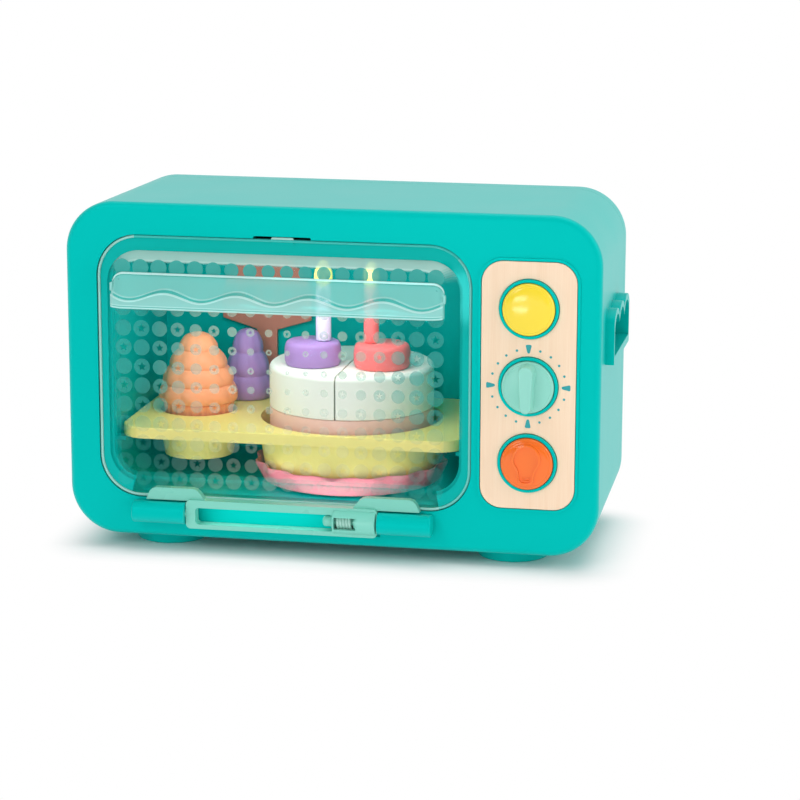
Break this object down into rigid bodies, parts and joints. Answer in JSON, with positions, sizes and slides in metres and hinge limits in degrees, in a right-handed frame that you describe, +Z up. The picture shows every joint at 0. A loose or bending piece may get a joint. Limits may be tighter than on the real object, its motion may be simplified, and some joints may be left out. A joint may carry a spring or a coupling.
{
  "type": "toy oven",
  "caption": "Child's countertop toy oven with a clear drop-down door, a wooden panel of two buttons and a knob, a side grip and a tray of play cakes inside.",
  "frame": {"origin": "middle of the oven's outline on the surface that its feet stand on", "axes": "+X to the right as the user faces the door, +Y to the back, +Z up"},
  "size_m": [0.2943, 0.148, 0.1899],
  "materials": {
    "teal_plastic": "satin moulded plastic",
    "dark_teal_plastic": "matte moulded plastic",
    "clear_aqua": "clear, polished",
    "mint_plastic": "translucent, polished",
    "knob_mint": "glossy",
    "maple": "pale veneer, satin lacquer",
    "yellow_plastic": "glossy",
    "orange_plastic": "glossy",
    "steel": "bright",
    "board_green": "solder mask",
    "black_plastic": "matte",
    "cell_jacket": "plain jacket",
    "lamp_lens": "frosted",
    "lamp": "clear",
    "butter_plastic": "satin",
    "cream_plastic": "matte",
    "pink_plastic": "satin",
    "peach_plastic": "satin",
    "lilac_plastic": "satin",
    "coral_plastic": "satin",
    "lavender_plastic": "satin",
    "rust_plastic": "satin"
  },
  "bodies": {
    "oven": {"body_shell": "teal_plastic", "rear_cover": "teal_plastic", "foot_front_left": "teal_plastic", "foot_front_right": "teal_plastic", "foot_rear_left": "teal_plastic", "foot_rear_right": "teal_plastic", "cavity_liner": "dark_teal_plastic", "lamp_lens": "lamp_lens", "control_panel": "maple", "battery_cover": "teal_plastic", "sound_button_spring": "steel", "light_button_spring": "steel", "circuit_board": "board_green", "sound_switch": "black_plastic", "light_switch": "black_plastic", "rotary_switch": "black_plastic", "click_leaf": "steel", "lamp_led": "lamp", "battery_1": "cell_jacket", "battery_2": "cell_jacket", "battery_contact_top": "steel", "battery_contact_bottom": "steel", "speaker": "black_plastic", "rear_screw_1": "steel", "rear_screw_2": "steel", "rear_screw_3": "steel", "rear_screw_4": "steel", "battery_cover_screw": "steel", "tray": "butter_plastic", "cake_layer": "pink_plastic", "cake_slice_front_left": "cream_plastic", "cake_slice_front_right": "cream_plastic", "cake_slice_rear_left": "cream_plastic", "cake_slice_rear_right": "cream_plastic", "cupcake_orange": "peach_plastic", "swirl_purple": "lilac_plastic", "icing_purple": "lilac_plastic", "icing_coral": "coral_plastic", "candle_purple": "lavender_plastic", "candle_coral": "coral_plastic", "flame_purple": "yellow_plastic", "flame_coral": "yellow_plastic", "plate": "pink_plastic", "cake_server": "rust_plastic"},
    "door": {"door_window": "clear_aqua", "door_handle": "clear_aqua", "door_yoke": "mint_plastic", "pin_spring": "steel"},
    "release_pin": {"release_pin": "mint_plastic"},
    "sound_button": {"sound_button": "yellow_plastic"},
    "light_button": {"light_button": "orange_plastic"},
    "timer_knob": {"timer_knob": "knob_mint", "click_wheel": "knob_mint"}
  },
  "joints": [
    {"name": "door_drop", "type": "hinge", "parent": "oven", "child": "door", "pos_m": [-0.02775, -0.0577, 0.0219], "axis": [1, 0, 0], "range_deg": [0, 90]},
    {"name": "release_pin_draw", "type": "slide", "parent": "door", "child": "release_pin", "axis": [-1, 0, 0], "range_m": [0, 0.005], "stiffness_N_per_m": 200, "springref_m": -0.004, "deforming": ["pin_spring"]},
    {"name": "sound_button_press", "type": "slide", "parent": "oven", "child": "sound_button", "axis": [0, 1, 0], "range_m": [0, 0.0025], "stiffness_N_per_m": 300, "springref_m": -0.003, "deforming": ["sound_button_spring"]},
    {"name": "light_button_press", "type": "slide", "parent": "oven", "child": "light_button", "axis": [0, 1, 0], "range_m": [0, 0.0025], "stiffness_N_per_m": 300, "springref_m": -0.003, "deforming": ["light_button_spring"]},
    {"name": "timer_knob_spin", "type": "hinge", "parent": "oven", "child": "timer_knob", "pos_m": [0.10465, -0.0588, 0.09935], "axis": [0, -1, 0], "continuous": true}
  ]
}
